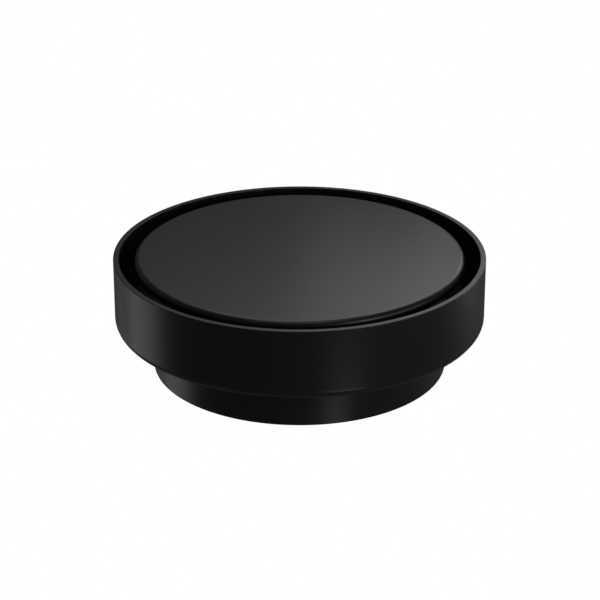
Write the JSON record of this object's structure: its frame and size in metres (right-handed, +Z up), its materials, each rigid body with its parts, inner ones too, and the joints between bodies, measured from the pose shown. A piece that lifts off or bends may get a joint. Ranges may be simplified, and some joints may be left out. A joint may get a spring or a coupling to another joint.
{
  "type": "floor drain",
  "caption": "Round matt-black floor drain with a solid lift-out cover, an annular inlet slot, a hair strainer and a spring-closed odour trap over a short outlet spigot.",
  "frame": {"origin": "centre of the outlet spigot's lower end, on which the drain stands", "axes": "+Z up the drain's axis, from the spigot to the cover; +Y is the side that the pull ring folds down to"},
  "size_m": [0.127, 0.127, 0.04],
  "materials": {
    "black_coating": "matt black powder coat on stainless steel",
    "stainless": "satin stainless steel",
    "trap_plastic": "moulded dark grey plastic",
    "black_rubber": "black rubber",
    "silicone": "off-white silicone rubber",
    "spring_steel": "drawn stainless spring wire"
  },
  "bodies": {
    "drain": {"drain_body": "black_coating", "outlet_spigot": "black_coating", "trap_cup": "trap_plastic", "trap_o_ring": "black_rubber", "stem_guide": "trap_plastic", "valve_spring": "spring_steel"},
    "valve": {"valve_disc": "trap_plastic", "valve_seal": "silicone", "valve_stem": "stainless", "spring_washer": "stainless", "stem_nut": "stainless"},
    "strainer": {"strainer_plate": "stainless", "strainer_skirt": "stainless", "pull_clip": "stainless", "clip_rivets": "stainless"},
    "ring": {"pull_ring": "stainless"},
    "cover": {"cover_plate": "black_coating", "support_plate": "black_coating", "cover_legs": "black_coating", "leg_screws": "stainless", "leg_pads": "black_rubber"}
  },
  "joints": [
    {"name": "cover_lift", "type": "slide", "parent": "drain", "child": "cover", "axis": [0, 0, 1], "range_m": [0, 0.05]},
    {"name": "strainer_lift", "type": "slide", "parent": "drain", "child": "strainer", "axis": [0, 0, 1], "range_m": [0, 0.0035]},
    {"name": "ring_fold", "type": "hinge", "parent": "strainer", "child": "ring", "pos_m": [0, 0, 0.0233], "axis": [1, 0, 0], "range_deg": [0, 90]},
    {"name": "valve_open", "type": "slide", "parent": "drain", "child": "valve", "axis": [0, 0, -1], "range_m": [0, 0.0035], "stiffness_N_per_m": 150, "springref_m": -0.004, "deforming": ["valve_spring"]}
  ]
}
